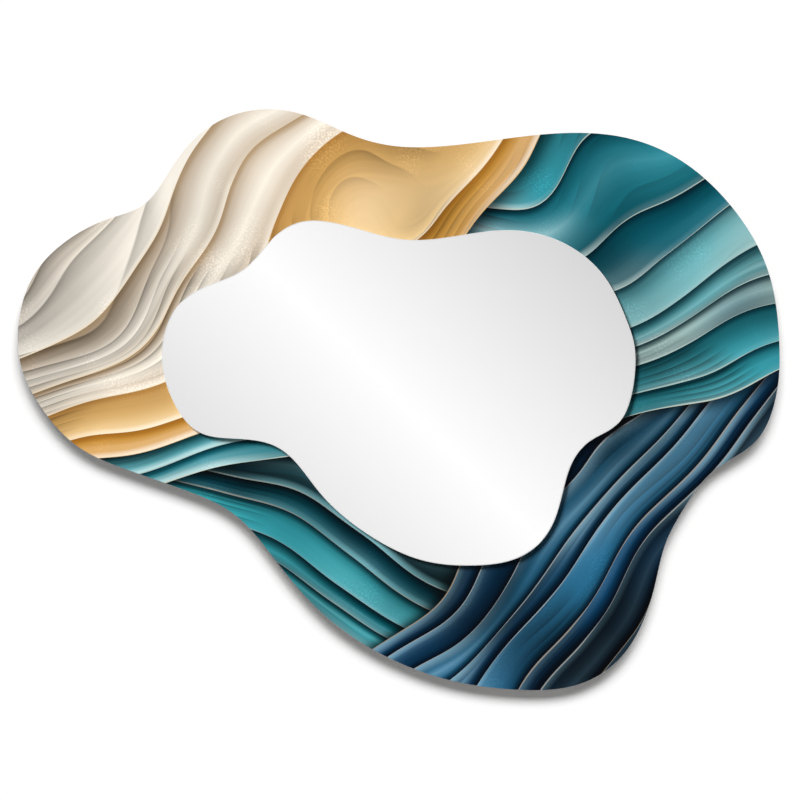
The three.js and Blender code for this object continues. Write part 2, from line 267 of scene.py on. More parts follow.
# shapes that several pieces share
def capLoop(nodeName, y):
    # The outer edge of a node's flat face in the plane y, as (x, z) points, anticlockwise from the front
    mesh = bmesh.new()
    mesh.from_mesh(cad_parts[nodeName].data)
    bmesh.ops.remove_doubles(mesh, verts=mesh.verts, dist=1e-6)
    cap = {face for face in mesh.faces if all(abs(vert.co.y - y) < 1e-6 for vert in face.verts)}
    rim = [edge for edge in mesh.edges if sum(face in cap for face in edge.link_faces) == 1]
    beside = {}
    for edge in rim:
        for here, there in (edge.verts, reversed(edge.verts)):
            beside.setdefault(here, []).append(there)
    start = max(beside, key=lambda vert: vert.co.x)
    loop, last, here = [], None, start
    while here is not start or not loop:
        loop.append((here.co.x, here.co.z))
        last, here = here, next(vert for vert in beside[here] if vert is not last)
    mesh.free()
    area = sum(a[0] * b[1] - b[0] * a[1] for a, b in zip(loop, loop[1:] + loop[:1]))
    return loop if area > 0 else loop[::-1]


def smoothLoop(loop, steps):
    # The same closed curve with more points, on a smooth line through the given ones
    fine = []
    for i in range(len(loop)):
        before, start, end, after = (Vector(loop[(i + k) % len(loop)]) for k in (-1, 0, 1, 2))
        for step in range(steps):
            t = step / steps
            along = (end - before) * t / 2
            bow = (before * 2 - start * 5 + end * 4 - after) * t**2 / 2
            twist = (start * 3 - before - end * 3 + after) * t**3 / 2
            fine.append(tuple(start + along + bow + twist))
    return fine


def insetLoop(loop, inset):
    moved = []
    for i, point in enumerate(loop):
        along = Vector(loop[(i + 1) % len(loop)]) - Vector(loop[i - 1])
        inward = Vector((-along.y, along.x)).normalized()
        moved.append(tuple(Vector(point) + inward * inset))
    return moved


def bridge(mesh, loops, materialIndex=0):
    # Faces between closed rows of vertices; a row may be one vertex over and over
    for lower, upper in zip(loops, loops[1:]):
        for i in range(len(lower)):
            j = (i + 1) % len(lower)
            corners = []
            for corner in (lower[i], lower[j], upper[j], upper[i]):
                if corner not in corners:
                    corners.append(corner)
            if len(corners) > 2:
                mesh.faces.new(corners).material_index = materialIndex


def shadeByAngle(mesh, degrees):
    bmesh.ops.recalc_face_normals(mesh, faces=mesh.faces)
    for face in mesh.faces:
        face.smooth = True
    for edge in mesh.edges:
        edge.smooth = edge.calc_face_angle(0) < math.radians(degrees)


def addPiece(name, mesh, materials, replaced, body=panelBody):
    data = bpy.data.meshes.new(name)
    mesh.to_mesh(data)
    mesh.free()
    for material in materials:
        data.materials.append(material)
    piece = addObject(name, data)
    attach(piece, body)
    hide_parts(replaced)
    return piece


def plateMesh(rings, sideMaterial=0, backMaterial=0):
    # A plate through (loop, y) rings from the back to the front
    mesh = bmesh.new()
    loops = [[mesh.verts.new((x, y, z)) for x, z in loop] for loop, y in rings]
    bridge(mesh, loops, sideMaterial)
    back = mesh.faces.new(loops[0])
    back.material_index = backMaterial
    front = mesh.faces.new(loops[-1])
    caps = bmesh.ops.triangulate(mesh, faces=[back, front])["faces"]
    shadeByAngle(mesh, 35)
    for cap in caps:
        cap.smooth = False
    return mesh


def placed(mesh, spot, turn=0.0):
    # Puts a mesh made in mm where it belongs, turned about the y axis
    toPlace = Matrix.Translation(spot) @ Matrix.Rotation(turn, 4, "Y") @ Matrix.Scale(mm, 4)
    bmesh.ops.transform(mesh, matrix=toPlace, verts=mesh.verts)
    return mesh


outlineSteps = 4
panelLoop = smoothLoop(capLoop("print_film", filmLow.y), outlineSteps)

# printed film: sheets of folded colour laid over each other in families, each with its own run.
# perSheet is the width of a sheet in mm, reach how far its bends and its ripples carry it, uneven how much
# sheets differ in width, pool how dark its broad pools go, shadow what is left of a colour in shadow.
# turn is the run's direction, start the height of its middle. step and jitter pick a sheet's place on the
# ramp, and drift moves it along the sheet.
printPlan = {
    "roughness": 0.5,
    "gloss": 0.06,  # of what clear plastic gives back: matt laminate leaves the darks dark
    "cutEdge": "#e9e8e4",
    "grain": 0.35,  # mm, the fine texture of matt laminate, drawn as coarse as it needs to show
    "speckle": 2.2,  # mm
    "sand": 60,  # mm across a patch of speckle
    "bends": (380, 240),  # mm along and across the run, from one to the next
    "ripples": (150, 105),
    "crowding": 0.55,  # how quickly wide sheets give way to narrow ones
    "widest": 250,  # mm, where the run lies flat
    "pleats": 4.0,  # to a sheet
    "cover": 9.0,  # mm of shade next to the sheet above
    "rimGlow": 11.0,  # mm of light up from a rim
    "streaks": (220, 4.5),  # mm long and apart
    "pools": 170,  # mm across
    "castShadow": (0.6, 0.16),  # its length in sheets, and the light left in it
    "families": [
        {
            "turn": 17, "perSheet": 36, "start": 7.0, "reach": (260, 66), "uneven": 1.1, "seed": 3.0,
            "step": 0.21, "jitter": 0.5, "drift": 0.35, "pool": 0.35,
            "ramp": [
                (0.00, "#030f18"), (0.22, "#06404f"), (0.42, "#0c6577"), (0.56, "#063f4c"),
                (0.76, "#0f7d8b"), (1.00, "#3fb4be"),
            ],
            "shadow": "#1a2a35", "rims": ("#8f7f6a", "#7fa7ae"), "crest": "#86c5cd",
        },
        {
            "turn": 127, "perSheet": 34, "start": -5.3, "reach": (230, 66), "uneven": 1.3, "seed": 5.5,
            "step": 0.23, "jitter": 0.5, "drift": 0.35, "pool": 0.35,
            "ramp": [
                (0.00, "#03121f"), (0.25, "#082d49"), (0.50, "#145581"), (0.70, "#0a385a"),
                (1.00, "#2f7ea6"),
            ],
            "shadow": "#18212e", "rims": ("#9b8467", "#8fa9b8"), "crest": "#8dbcd2",
        },
        {
            "turn": -12, "perSheet": 44, "start": 0.9, "reach": (250, 70), "uneven": 1.1, "seed": 11.0,
            "step": 0.27, "jitter": 0.5, "drift": 0.4, "pool": 0.6,
            "ramp": [
                (0.00, "#064a5a"), (0.22, "#0d7586"), (0.48, "#35a5b2"), (0.70, "#78c8cf"),
                (0.86, "#b6d9d4"), (1.00, "#1c7796"),
            ],
            "shadow": "#2a4650", "rims": ("#cfd3c4", "#8fb9bb"), "crest": "#d0eae8",
        },
        {
            "turn": -36, "perSheet": 50, "start": -3.65, "reach": (230, 64), "uneven": 1.1, "seed": 23.0,
            "step": 0.17, "jitter": 0.12, "drift": 0.10, "pool": 0.88,
            "ramp": [
                (0.00, "#b06e22"), (0.14, "#dba548"), (0.30, "#edcb8b"), (0.42, "#f3eadb"),
                (0.62, "#e6ddce"), (0.80, "#f6f2ea"), (1.00, "#eae5da"),
            ],
            "shadow": "#b59e82", "rims": ("#d2a75f", "#f4ead6"), "crest": "#fff6e6",
        },
    ],
}


def sheetHeight(tree, place, plan, family):
    # How many sheets up a place lies, and what that is worked out from. place is in mm, turned to the run.
    wide, near = (reach / family["perSheet"] for reach in family["reach"])
    seeds = (family["seed"], family["seed"] * 1.7, 0)
    axes = addNode(tree, "SeparateXYZ", {0: place}).outputs
    broad, close = (
        addNode(
            tree, "Mapping", {"Vector": place, "Location": seeds, "Scale": (1 / along, 1 / across, 1)}
        )
        for along, across in (plan["bends"], plan["ripples"])
    )
    bend = addNode(tree, "TexNoise", {"Vector": broad, "Scale": 1, "Detail": 0})
    ripple = addNode(tree, "TexNoise", {"Vector": close, "Scale": 1, "Detail": 0})
    bent = addNode(tree, "Math", {0: bend, 1: wide, 2: family["start"] - wide / 2}, operation="MULTIPLY_ADD")
    rippled = addNode(tree, "Math", {0: ripple, 1: near, 2: bent}, operation="MULTIPLY_ADD")
    even = addNode(
        tree, "Math", {0: axes["Y"], 1: 1 / family["perSheet"], 2: rippled}, operation="MULTIPLY_ADD"
    )
    crowd = addNode(
        tree, "TexNoise", {"W": even, "Scale": plan["crowding"], "Detail": 0}, noise_dimensions="1D"
    )
    height = addNode(tree, "Math", {0: crowd, 1: family["uneven"], 2: even}, operation="MULTIPLY_ADD")
    return {"height": height, "along": axes["X"], "close": close, "ripple": ripple, "rippled": rippled}


def foldedSheets(tree, point, plan, family):
    # One family: how many sheets up a point lies, and its colour there. point is in mm. Most of a noise
    # lies between 0.3 and 0.7, so a range taken from it starts and ends between those.
    turned = addNode(
        tree, "VectorRotate", {"Vector": point, "Angle": math.radians(family["turn"])}, rotation_type="Z_AXIS"
    )
    nudged = addNode(tree, "VectorMath", {0: turned, 1: (0, 1, 0)}, operation="ADD")
    here = sheetHeight(tree, turned, plan, family)
    further = sheetHeight(tree, nudged, plan, family)
    height = here["height"]
    number = addNode(tree, "Math", {0: height}, operation="FLOOR")
    depth = addNode(tree, "Math", {0: height}, operation="FRACT")
    # Sheets per mm give the distances in mm up from the sheet's own rim and on to the next
    climb = addNode(tree, "Math", {0: further["height"], 1: height}, operation="SUBTRACT")
    steep = addNode(tree, "Math", {0: climb}, operation="ABSOLUTE")
    perMm = addNode(tree, "Math", {0: steep, 1: 1 / plan["widest"]}, operation="MAXIMUM")
    fromRim = addNode(tree, "Math", {0: depth, 1: perMm}, operation="DIVIDE")
    rest = addNode(tree, "Math", {0: 1.0, 1: depth}, operation="SUBTRACT")
    toNext = addNode(tree, "Math", {0: rest, 1: perMm}, operation="DIVIDE")

    # Colour of the sheet, drifting along it
    chance = addNode(tree, "TexWhiteNoise", {"W": number}, noise_dimensions="1D")
    chances = addNode(tree, "SeparateXYZ", {0: chance.outputs["Color"]}).outputs
    climbed = addNode(tree, "Math", {0: number, 1: family["step"]}, operation="MULTIPLY")
    picked = addNode(tree, "Math", {0: chance, 1: family["jitter"], 2: climbed}, operation="MULTIPLY_ADD")
    drifted = addNode(
        tree, "Math", {0: here["ripple"], 1: family["drift"], 2: picked}, operation="MULTIPLY_ADD"
    )
    wrapped = addNode(tree, "Math", {0: drifted, 1: 1.0}, operation="PINGPONG")
    base = addNode(tree, "ValToRGB", {0: wrapped}, stops=family["ramp"])

    # Light across the sheet: flat ones fall away from the rim, rolled ones are brightest in the middle, and
    # both darken within a few mm of the next sheet, which lies over them
    flat = addNode(
        tree, "ValToRGB", {0: depth},
        stops=[(0.0, "#ffffff"), (0.35, "#e2e2e2"), (0.70, "#adadad"), (1.0, "#7c7c7c")],
    )
    rolled = addNode(
        tree, "ValToRGB", {0: depth},
        stops=[(0.0, "#9c9c9c"), (0.22, "#cccccc"), (0.48, "#ffffff"), (0.66, "#e0e0e0"), (1.0, "#6e6e6e")],
    )
    rolls = addNode(tree, "MapRange", {"Value": chances["X"], 1: 0.45, 2: 0.8}, **smooth)
    across = addNode(tree, "Mix", {0: rolls, 6: flat, 7: rolled}, **inColour)
    covered = addNode(tree, "MapRange", {"Value": toNext, 1: 0.0, 2: plan["cover"], 3: 0.1, 4: 1.0}, **smooth)
    shade = addNode(tree, "Math", {0: across, 1: covered}, operation="MULTIPLY")
    dimmed = addNode(tree, "Mix", {0: shade, 6: family["shadow"], 7: (1, 1, 1, 1)}, **inColour)
    shaded = addNode(tree, "VectorMath", {0: base, 1: dimmed}, operation="MULTIPLY")

    # Pleats within the sheet, gathered in a few places
    pleats = addNode(
        tree, "Math", {0: height, 1: plan["pleats"], 2: here["rippled"]}, operation="MULTIPLY_ADD"
    )
    pleat = addNode(tree, "Math", {0: pleats}, operation="FRACT")
    pleatShade = addNode(
        tree, "ValToRGB", {0: pleat},
        stops=[(0.0, "#ffffff"), (0.3, "#e6e6e6"), (0.8, "#b4b4b4"), (0.95, "#828282"), (1.0, "#ffffff")],
    )
    gather = addNode(
        tree, "TexNoise", {"Vector": here["close"], "Scale": 1.1, "Detail": 0, "W": family["seed"]},
        noise_dimensions="4D",
    )
    gathered = addNode(tree, "MapRange", {"Value": gather, 1: 0.45, 2: 0.62, 4: 0.9})
    folded = addNode(tree, "Mix", {0: gathered, 6: shaded, 7: pleatShade}, **inColour, blend_type="MULTIPLY")

    # Silky streaks that run with the folds, plain only where the sheet is gathered
    long, apart = plan["streaks"]
    runs = addNode(tree, "CombineXYZ", {"X": here["along"], "Y": height, "Z": family["seed"]})
    drawn = addNode(tree, "Mapping", {"Vector": runs, "Scale": (1 / long, family["perSheet"] / apart, 1)})
    streaks = addNode(tree, "TexNoise", {"Vector": drawn, "Scale": 1, "Detail": 2, "Roughness": 0.6})
    contrast = addNode(tree, "MapRange", {"Value": gathered, 3: 0.16, 4: 0.75})
    swing = addNode(tree, "Math", {0: streaks, 1: 0.5}, operation="SUBTRACT")
    streaked = addNode(tree, "Math", {0: swing, 1: contrast, 2: 1.0}, operation="MULTIPLY_ADD")
    silky = addNode(tree, "VectorMath", {0: folded, "Scale": streaked}, operation="SCALE")

    # Silk catches the light here and there, on its crests and most of all along its rims
    sheenPatch = addNode(
        tree, "TexNoise", {"Vector": here["close"], "Scale": 0.8, "Detail": 0, "W": family["seed"] + 4},
        noise_dimensions="4D",
    )
    patchLight = addNode(tree, "MapRange", {"Value": sheenPatch, 1: 0.40, 2: 0.64, 3: 0.12, 4: 1.0}, **smooth)
    crest = addNode(tree, "Math", {0: shade, 1: 4.0}, operation="POWER")
    crestLight = addNode(tree, "Math", {0: crest, 1: 0.4}, operation="MULTIPLY")
    rimGlow = addNode(
        tree, "MapRange", {"Value": fromRim, 1: 0.0, 2: plan["rimGlow"], 3: 0.7, 4: 0.0}, **smooth
    )
    brightest = addNode(tree, "Math", {0: crestLight, 1: rimGlow}, operation="MAXIMUM")
    caught = addNode(tree, "Math", {0: patchLight, 1: brightest}, operation="MULTIPLY")
    glossy = addNode(tree, "Mix", {0: caught, 6: silky, 7: family["crest"]}, **inColour)

    # Broad light and dark over the whole family
    pools = addNode(
        tree, "TexNoise", {"Vector": point, "Scale": 1 / plan["pools"], "Detail": 0, "W": family["seed"]},
        noise_dimensions="4D",
    )
    poolLight = addNode(tree, "MapRange", {"Value": pools, 1: 0.32, 2: 0.60, 3: family["pool"], 4: 1.15})
    pooled = addNode(tree, "VectorMath", {0: glossy, "Scale": poolLight}, operation="SCALE")

    # The thin rim of the sheet, 0.4 to 1.5 mm, brighter where it is wider
    rimWidth = addNode(tree, "MapRange", {"Value": gather, 1: 0.36, 2: 0.6, 3: 0.4, 4: 1.5})
    onRim = addNode(tree, "Math", {0: fromRim, 1: rimWidth}, operation="DIVIDE")
    rimLight = addNode(tree, "MapRange", {"Value": onRim, 1: 0.7, 2: 1.4, 3: 0.85, 4: 0.0}, **smooth)
    rimColour = addNode(
        tree, "Mix", {0: chances["Y"], 6: family["rims"][0], 7: family["rims"][1]}, **inColour
    )
    rimmed = addNode(tree, "Mix", {0: rimLight, 6: pooled, 7: rimColour}, **inColour)
    return height, rimmed


def layOver(tree, below, height, colour, castShadow):
    # Lays a family over the picture so far, from its first rim upwards, with a soft shadow below that rim
    long, left = castShadow
    shadow = addNode(tree, "MapRange", {"Value": height, 1: -long, 2: 0.0, 3: 1.0, 4: left}, **smooth)
    shaded = addNode(tree, "VectorMath", {0: below, "Scale": shadow}, operation="SCALE")
    above = addNode(tree, "Math", {0: height, 1: 0.0}, operation="GREATER_THAN")
    return addNode(tree, "Mix", {0: above, 6: shaded, 7: colour}, **inColour)


def mattLaminatedPrint(tree, plan):
    # Ink-jet print under matt laminate: flat to the touch, all folds and shadows are in the picture, and
    # the room shows in it only as a faint soft sheen
    place = addNode(tree, "TexCoord").outputs["Object"]
    centred = addNode(
        tree, "VectorMath", {0: place, 1: (panelCentre.x, 0, panelCentre.z)}, operation="SUBTRACT"
    )
    axes = addNode(tree, "SeparateXYZ", {0: centred}).outputs
    flat = addNode(tree, "CombineXYZ", {"X": axes["X"], "Y": axes["Z"]})
    point = addNode(tree, "VectorMath", {0: flat, "Scale": 1 / mm}, operation="SCALE")
    picture = None
    for family in plan["families"]:
        height, colour = foldedSheets(tree, point, plan, family)
        picture = layOver(tree, picture, height, colour, plan["castShadow"]) if picture else colour

    # Patches of bright speckle, as of sand
    grit = addNode(tree, "TexNoise", {"Vector": point, "Scale": 1 / plan["speckle"], "Detail": 1})
    patch = addNode(
        tree, "TexNoise", {"Vector": point, "Scale": 1 / plan["sand"], "Detail": 1, "W": 5},
        noise_dimensions="4D",
    )
    patched = addNode(tree, "MapRange", {"Value": patch, 1: 0.54, 2: 0.70})
    gritLight = addNode(tree, "MapRange", {"Value": grit, 1: 0.46, 2: 0.66, 4: 0.3})
    speckled = addNode(tree, "Math", {0: patched, 1: gritLight, 2: 1.0}, operation="MULTIPLY_ADD")
    gritty = addNode(tree, "VectorMath", {0: picture, "Scale": speckled}, operation="SCALE")

    laminate = addNode(tree, "TexNoise", {"Vector": point, "Scale": 1 / plan["grain"], "Detail": 1})
    dimpled = addNode(tree, "Bump", {"Height": laminate, "Strength": 0.12, "Distance": 0.02 * mm})
    return addNode(
        tree, "BsdfPrincipled",
        {
            "Base Color": gritty, "Roughness": plan["roughness"], "IOR": 1.5,
            "Specular IOR Level": plan["gloss"], "Normal": dimpled,
        },
    )


def whiteVinylEdge(tree, plan):
    # Cut edge of white vinyl film, a thin pale line round the panel
    return addNode(tree, "BsdfPrincipled", {"Base Color": plan["cutEdge"], "Roughness": 0.6})


printMesh = plateMesh([(panelLoop, filmHigh.y), (panelLoop, filmLow.y)], sideMaterial=1, backMaterial=1)
printFinishes = [makeMaterial(finish, printPlan) for finish in (mattLaminatedPrint, whiteVinylEdge)]
addPiece("printedFilm", printMesh, printFinishes, "print_film")
print("printed film made")

# board: medium density fibreboard, routed to shape and left bare at the edge
boardPlan = {
    "core": "#ab906a",
    "skin": "#8b714f",
    "flecks": "#cab690",
    "fibre": 0.7,  # mm
    "eased": 0.25,  # mm taken off both edges with sandpaper
}


def routedFibreboard(tree, plan):
    # Sawdust and glue under pressure: matt brown, paler in the middle than near its two hard faces, with
    # fine short fibres that lie flat
    place = addNode(tree, "TexCoord").outputs["Object"]
    depth = addNode(tree, "SeparateXYZ", {0: place}).outputs["Y"]
    layer = addNode(tree, "MapRange", {"Value": depth, 1: boardLow.y, 2: boardHigh.y})
    density = addNode(
        tree, "ValToRGB", {0: layer},
        stops=[(0.0, plan["skin"]), (0.22, plan["core"]), (0.78, plan["core"]), (1.0, plan["skin"])],
    )
    stretch = 1 / (plan["fibre"] * mm)
    laid = addNode(tree, "Mapping", {"Vector": place, "Scale": (stretch, stretch * 3, stretch)})
    fibres = addNode(tree, "TexNoise", {"Vector": laid, "Scale": 1, "Detail": 3, "Roughness": 0.6})
    pale = addNode(tree, "MapRange", {"Value": fibres, 1: 0.45, 2: 0.7, 4: 0.55})
    fleck = addNode(tree, "Mix", {0: pale, 6: density, 7: plan["flecks"]}, **inColour)
    fuzz = addNode(tree, "Bump", {"Height": fibres, "Strength": 0.5, "Distance": 0.15 * mm})
    return addNode(
        tree, "BsdfPrincipled",
        {"Base Color": fleck, "Roughness": 0.88, "Specular IOR Level": 0.25, "Normal": fuzz},
    )


eased = boardPlan["eased"] * mm
boardMesh = plateMesh(
    [
        (insetLoop(panelLoop, eased), boardHigh.y),
        (panelLoop, boardHigh.y - eased),
        (panelLoop, boardLow.y + eased),
        (insetLoop(panelLoop, eased), boardLow.y),
    ]
)
addPiece("panelBoard", boardMesh, [makeMaterial(routedFibreboard, boardPlan)], "panel_board")
print("board made")

# balancing film on the back
backLow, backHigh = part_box("backing_film")
backingPlan = {
    "paper": "#dedad1",
    "scuffs": "#d0ccc2",
    "pebble": 0.9,  # mm, the fine orange peel of melamine paper
    "clouds": 14,  # mm, the wear of handling
}


def mattMelaminePaper(tree, plan):
    # Melamine-faced paper: off-white and matt, with a faint orange peel and the grey scuffs of handling
    place = addNode(tree, "TexCoord").outputs["Object"]
    clouds = addNode(
        tree, "TexNoise",
        {"Vector": place, "Scale": 1 / (plan["clouds"] * mm), "Detail": 6, "Roughness": 0.65},
    )
    scuffed = addNode(tree, "MapRange", {"Value": clouds, 1: 0.35, 2: 0.75, 4: 0.8})
    tone = addNode(tree, "Mix", {0: scuffed, 6: plan["paper"], 7: plan["scuffs"]}, **inColour)
    peel = addNode(tree, "TexNoise", {"Vector": place, "Scale": 1 / (plan["pebble"] * mm), "Detail": 1})
    dimpled = addNode(tree, "Bump", {"Height": peel, "Strength": 0.25, "Distance": 0.05 * mm})
    sheen = addNode(tree, "MapRange", {"Value": clouds, 1: 0.3, 2: 0.7, 3: 0.5, 4: 0.66})
    return addNode(
        tree, "BsdfPrincipled", {"Base Color": tone, "Roughness": sheen, "IOR": 1.5, "Normal": dimpled}
    )


backingMesh = plateMesh([(panelLoop, backHigh.y), (panelLoop, backLow.y)])
paper = makeMaterial(mattMelaminePaper, backingPlan)
addPiece("backingFilm", backingMesh, [paper], "backing_film")
print("backing film made")

# mirror: float glass with a small polished arris round both edges, silvered behind
glassLow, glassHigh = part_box("mirror_glass")
silverLow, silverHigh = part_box("mirror_silvering")
mirrorPlan = {
    "arrisSteps": 4,
    "glassTint": "#fcfffe",
    "silver": "#fdfafb",
    "backingPaint": "#6b7370",
    "flow": 12,  # mm across the paint's unevenness
    "bite": 0.02,  # mm that the silver reaches into the glass, so that no air shows between them
}
arris = glassHigh.x - silverHigh.x
silverLoop = smoothLoop(capLoop("mirror_silvering", silverLow.y), outlineSteps)
glassLoop = insetLoop(silverLoop, -arris)


def clearFloatGlass(tree, plan):
    # Clear float glass with a polished edge: colourless from the front, faintly green along its edge
    return addNode(
        tree, "BsdfPrincipled",
        {"Base Color": plan["glassTint"], "Roughness": 0.0, "IOR": 1.52, "Transmission Weight": 1.0},
    )


def wetLaidSilver(tree, plan):
    # Silver laid on glass from a bath and seen through it: it gives back nearly all light, sharply
    return addNode(tree, "BsdfPrincipled", {"Base Color": plan["silver"], "Metallic": 1.0, "Roughness": 0.0})


def mirrorBackingPaint(tree, plan):
    # The poured grey paint that seals the silver, matt with a slow unevenness from the curtain coater
    place = addNode(tree, "TexCoord").outputs["Object"]
    flow = addNode(tree, "TexNoise", {"Vector": place, "Scale": 1 / (plan["flow"] * mm), "Detail": 2})
    uneven = addNode(tree, "MapRange", {"Value": flow, 1: 0.3, 2: 0.7, 3: 0.45, 4: 0.62})
    return addNode(tree, "BsdfPrincipled", {"Base Color": plan["backingPaint"], "Roughness": uneven})


def glassRings(plan):
    back, front = [], []
    for k in range(plan["arrisSteps"] + 1):
        turn = math.pi / 2 * k / plan["arrisSteps"]
        falling, rising = arris * (1 - math.sin(turn)), arris * (1 - math.cos(turn))
        back.append((insetLoop(glassLoop, falling), glassHigh.y - rising))
        front.append((insetLoop(glassLoop, rising), glassLow.y + falling))
    return back + front


silverRings = [(silverLoop, silverHigh.y), (silverLoop, silverLow.y - mirrorPlan["bite"] * mm)]
silverMesh = plateMesh(silverRings, sideMaterial=1, backMaterial=1)
silverFinishes = [makeMaterial(finish, mirrorPlan) for finish in (wetLaidSilver, mirrorBackingPaint)]
glassMesh = plateMesh(glassRings(mirrorPlan))
addPiece("mirrorGlass", glassMesh, [makeMaterial(clearFloatGlass, mirrorPlan)], "mirror_glass")
addPiece("mirrorSilver", silverMesh, silverFinishes, "mirror_silvering")
print("mirror made")

# what holds the mirror on: foam tape and dabs of adhesive, out of sight behind it
bondPlan = {
    "foam": "#eeeeea",
    "cell": 0.4,  # mm across the foam's cells
    "adhesive": "#d6d0bf",
    "smear": 5,  # mm
}


def whiteFoamTape(tree, plan):
    # Closed-cell polyethylene foam: white, matt, finely pitted, with painted shade darkening its pits
    place = addNode(tree, "TexCoord").outputs["Object"]
    cells = addNode(tree, "TexVoronoi", {"Vector": place, "Scale": 1 / (plan["cell"] * mm)})
    pits = addNode(tree, "Bump", {"Height": cells, "Strength": 0.5, "Distance": 0.1 * mm})
    # painted shade: the foam's colour is darkest where the pits of the bump lie lowest
    tone = addNode(tree, "MapRange", {"Value": cells, 1: 0.0, 2: 0.7, 3: 0.8, 4: 1.0})
    pitShadedFoam = addNode(tree, "VectorMath", {0: toLinear(plan["foam"])[:3], "Scale": tone}, operation="SCALE")
    return addNode(tree, "BsdfPrincipled", {"Base Color": pitShadedFoam, "Roughness": 0.9, "Normal": pits})


def pressedMirrorAdhesive(tree, plan):
    # Neutral-cure adhesive pressed flat: putty coloured, with the dull skin of a rubbery paste
    place = addNode(tree, "TexCoord").outputs["Object"]
    smear = addNode(tree, "TexNoise", {"Vector": place, "Scale": 1 / (plan["smear"] * mm), "Detail": 3})
    skin = addNode(tree, "Bump", {"Height": smear, "Strength": 0.4, "Distance": 0.2 * mm})
    gloss = addNode(tree, "MapRange", {"Value": smear, 1: 0.3, 2: 0.7, 3: 0.4, 4: 0.6})
    return addNode(
        tree, "BsdfPrincipled", {"Base Color": plan["adhesive"], "Roughness": gloss, "Normal": skin}
    )


foam, adhesive = (makeMaterial(finish, bondPlan) for finish in (whiteFoamTape, pressedMirrorAdhesive))
for nodeName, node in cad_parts.items():
    if nodeName.startswith("mounting_tape"):
        node.material_slots[0].material = foam
    elif nodeName.startswith("adhesive_dab"):
        node.material_slots[0].material = adhesive
print("tape and adhesive finished")

# strap hangers on the back, all sizes in mm
hangerPlan = {
    "tints": ("#a0a8af", "#aeb2b5", "#b5b1a5"),
    "clouds": 4,  # across a patch of tint
    "scratch": (0.25, 6),  # across and along the rolling of the steel
    "strapWidth": 12.0,
    "strapThickness": 1.0,
    "curlRadius": 2.0,  # to the middle of the strip, as is the tuck's
    "tuckRadius": 2.0,
    "slit": 0.3,
    "tipRadius": 4.0,
    "holeRadius": 2.05,
    "screwDrops": (20.0, 32.0),
    "strapLength": 38.0,
    "edge": 0.16,  # rounding that the press leaves
    "tipSteps": 12,
    "holeSides": 32,
    "bendStep": 0.35,  # along the strip, where it bends
    "ringWire": 1.2,
    "ringBend": 2.5,
    "ringHalf": 10.0,
    "ringShoulder": 3.0,
    "ringButt": 0.3,
    "ringChamfer": 0.2,
    "bendSteps": 10,
    "crownSteps": 24,
    "ringSides": 20,
    "headRadius": 3.5,
    "headHeight": 2.4,
    "headFoot": (0.1, 0.12),  # bevel of the head's lower edge, in and up
    "domeFoot": 0.5,
    "domePowers": (0.72, 0.9),  # below 1, so fuller than an ellipse
    "domeSteps": 9,
    "headSides": 40,
    "shankRadius": 1.75,
    "coreRadius": 1.25,
    "threadPitch": 1.3,
    "threadHalf": 0.28,  # half the ridge, in pitches
    "threadFade": 0.8,
    "threadRows": 60,
    "shankSides": 24,
    "shankInHead": 0.2,
    "screwLength": 7.7,
    "pointLength": 2.0,
    "pointTip": 0.06,  # of the core's radius
    "recessTop": (2.25, 0.55),  # half length and half width of the cross at the top
    "recessFoot": (0.75, 0.35),
    "recessDepth": 1.5,
    "recessOver": 0.1,  # that the tool stands over the head
    "screwTurns": {"left": (0.35, 1.1), "right": (0.8, 0.15)},
}


def brightZincPlate(tree, plan):
    # Bright zinc plate on pressed steel: cool silver with a faint cloudiness and a hint of the clear blue
    # and straw tints of its passivation
    place = addNode(tree, "TexCoord").outputs["Object"]
    clouds = addNode(
        tree, "TexNoise", {"Vector": place, "Scale": 1 / (plan["clouds"] * mm), "Detail": 4, "Roughness": 0.6}
    )
    tint = addNode(tree, "ValToRGB", {0: clouds}, stops=list(zip((0.3, 0.5, 0.7), plan["tints"])))
    cloudy = addNode(tree, "MapRange", {"Value": clouds, 1: 0.3, 2: 0.7, 3: 0.24, 4: 0.38})
    fine, long = plan["scratch"]
    scratches = addNode(
        tree, "Mapping", {"Vector": place, "Scale": (1 / (fine * mm), 1 / (fine * mm), 1 / (long * mm))}
    )
    drawn = addNode(tree, "TexNoise", {"Vector": scratches, "Scale": 1, "Detail": 2})
    dull = addNode(tree, "Bump", {"Height": drawn, "Strength": 0.05, "Distance": 0.02 * mm})
    return addNode(
        tree, "BsdfPrincipled", {"Base Color": tint, "Metallic": 1.0, "Roughness": cloudy, "Normal": dull}
    )


def strapRun(plan):
    # The folded strip from the side, as straight and round stretches of its middle line, bar at (0, 0)
    curl, tuck, long = plan["curlRadius"], plan["tuckRadius"], plan["strapLength"]
    outerY = plan["slit"] + plan["strapThickness"] - curl
    tuckY = outerY + tuck
    tuckZ = -math.sqrt((curl + tuck) ** 2 - tuckY**2)
    turn = math.atan2(tuckZ, tuckY)
    return [
        {"length": long, "from": (-curl, -long), "way": (0, 1)},
        {"length": curl * (math.pi - turn), "about": (0, 0), "radius": curl, "angle": math.pi, "spin": -1},
        {
            "length": -tuck * turn, "about": (tuckY, tuckZ), "radius": tuck,
            "angle": math.pi + turn, "spin": 1,
        },
        {"length": long + tuckZ, "from": (outerY, tuckZ), "way": (0, -1)},
    ]


def onRun(run, along, out):
    # Where a point of the flat strip comes to lie, by its place along the strip and out from the middle
    for stretch in run:
        if along <= stretch["length"] or stretch is run[-1]:
            break
        along -= stretch["length"]
    if "way" in stretch:
        y, z = (start + way * along for start, way in zip(stretch["from"], stretch["way"]))
        return y - stretch["way"][1] * out, z + stretch["way"][0] * out
    angle = stretch["angle"] + stretch["spin"] * along / stretch["radius"]
    radius = stretch["radius"] - stretch["spin"] * out
    return stretch["about"][0] + radius * math.cos(angle), stretch["about"][1] + radius * math.sin(angle)


